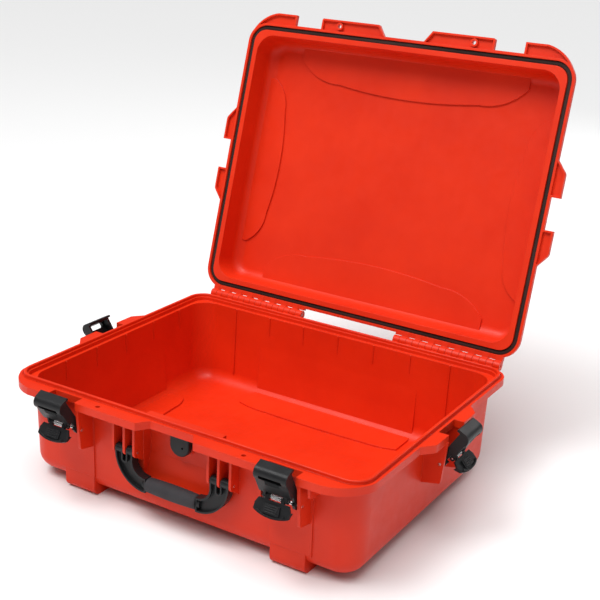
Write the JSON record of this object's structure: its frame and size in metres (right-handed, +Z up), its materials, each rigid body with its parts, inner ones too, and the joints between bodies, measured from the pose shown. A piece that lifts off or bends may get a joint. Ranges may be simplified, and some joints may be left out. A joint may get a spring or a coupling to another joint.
{
  "type": "hard equipment case",
  "caption": "Rectangular moulded protective case with hinged gasketed lid standing open, compound latches with slide locks, swing-out handle and pressure valve.",
  "frame": {"origin": "centre of the plane that the feet stand on", "axes": "+Z up, +X to the right seen from the handle side, -Y towards the handle side, lid hinge on the +Y side"},
  "size_m": [0.7006, 0.7168, 0.6594],
  "materials": {
    "shell": "fine moulded satin grain, bright orange-red polypropylene",
    "gasket": "matt dark brown-black closed-cell seal",
    "black_nylon": "fine textured black nylon",
    "grip_rubber": "dark grey over-moulded rubber with a fine pebble",
    "steel": "drawn stainless steel",
    "seal_rubber": "smooth black rubber"
  },
  "bodies": {
    "base": {"base_shell": "shell", "hinge_pin_left": "steel", "hinge_pin_right": "steel", "handle_pin_left": "steel", "handle_pin_right": "steel", "valve_body": "black_nylon", "valve_cap": "black_nylon", "valve_oring": "seal_rubber", "valve_membrane": "seal_rubber", "valve_nut": "black_nylon", "latch_front_left_claw_pin": "steel", "latch_front_right_claw_pin": "steel", "latch_right_claw_pin": "steel", "latch_left_claw_pin": "steel"},
    "lid": {"lid_shell": "shell", "lid_gasket": "gasket"},
    "handle": {"handle_frame": "black_nylon", "handle_grip": "grip_rubber"},
    "claw_front_left": {"latch_front_left_claw": "black_nylon", "latch_front_left_lever_pin": "steel", "latch_front_left_spring": "steel"},
    "lever_front_left": {"latch_front_left_lever": "black_nylon"},
    "lock_front_left": {"latch_front_left_lock": "black_nylon"},
    "claw_front_right": {"latch_front_right_claw": "black_nylon", "latch_front_right_lever_pin": "steel", "latch_front_right_spring": "steel"},
    "lever_front_right": {"latch_front_right_lever": "black_nylon"},
    "lock_front_right": {"latch_front_right_lock": "black_nylon"},
    "claw_right": {"latch_right_claw": "black_nylon", "latch_right_lever_pin": "steel", "latch_right_spring": "steel"},
    "lever_right": {"latch_right_lever": "black_nylon"},
    "lock_right": {"latch_right_lock": "black_nylon"},
    "claw_left": {"latch_left_claw": "black_nylon", "latch_left_lever_pin": "steel", "latch_left_spring": "steel"},
    "lever_left": {"latch_left_lever": "black_nylon"},
    "lock_left": {"latch_left_lock": "black_nylon"}
  },
  "joints": [
    {"name": "lid_hinge", "type": "hinge", "parent": "base", "child": "lid", "pos_m": [0, 0.252, 0.1674], "axis": [-1, 0, 0], "range_deg": [-105.6, 0]},
    {"name": "handle_hinge", "type": "hinge", "parent": "base", "child": "handle", "pos_m": [0, -0.236, 0.107], "axis": [-1, 0, 0], "range_deg": [0, 95]},
    {"name": "claw_front_left_hinge", "type": "hinge", "parent": "base", "child": "claw_front_left", "pos_m": [-0.187, -0.249, 0.121], "axis": [1, 0, 0], "range_deg": [-34, 16]},
    {"name": "lever_front_left_hinge", "type": "hinge", "parent": "claw_front_left", "child": "lever_front_left", "pos_m": [-0.187, -0.26151, 0.12703], "axis": [-1, 0, 0], "range_deg": [-68, 37]},
    {"name": "lock_front_left_slide", "type": "slide", "parent": "lever_front_left", "child": "lock_front_left", "axis": [0, -0.5592, -0.829], "range_m": [-0.003, 0]},
    {"name": "claw_front_right_hinge", "type": "hinge", "parent": "base", "child": "claw_front_right", "pos_m": [0.187, -0.249, 0.121], "axis": [1, 0, 0], "range_deg": [-27, 23]},
    {"name": "lever_front_right_hinge", "type": "hinge", "parent": "claw_front_right", "child": "lever_front_right", "pos_m": [0.187, -0.26068, 0.12851], "axis": [-1, 0, 0], "range_deg": [-55, 50]},
    {"name": "lock_front_right_slide", "type": "slide", "parent": "lever_front_right", "child": "lock_front_right", "axis": [0, -0.4695, -0.8829], "range_m": [-0.003, 0]},
    {"name": "claw_right_hinge", "type": "hinge", "parent": "base", "child": "claw_right", "pos_m": [0.3125, 0, 0.121], "axis": [0, 1, 0], "range_deg": [-32, 18]},
    {"name": "lever_right_hinge", "type": "hinge", "parent": "claw_right", "child": "lever_right", "pos_m": [0.3248, 0, 0.12747], "axis": [0, -1, 0], "range_deg": [-78, 27]},
    {"name": "lock_right_slide", "type": "slide", "parent": "lever_right", "child": "lock_right", "axis": [0.7193, 0, -0.6947], "range_m": [-0.003, 0]},
    {"name": "claw_left_hinge", "type": "hinge", "parent": "base", "child": "claw_left", "pos_m": [-0.3125, 0, 0.121], "axis": [0, -1, 0], "range_deg": [-34, 16]},
    {"name": "lever_left_hinge", "type": "hinge", "parent": "claw_left", "child": "lever_left", "pos_m": [-0.32501, 0, 0.12703], "axis": [0, 1, 0], "range_deg": [-80, 25]},
    {"name": "lock_left_slide", "type": "slide", "parent": "lever_left", "child": "lock_left", "axis": [-0.7193, 0, -0.6947], "range_m": [-0.003, 0]}
  ]
}
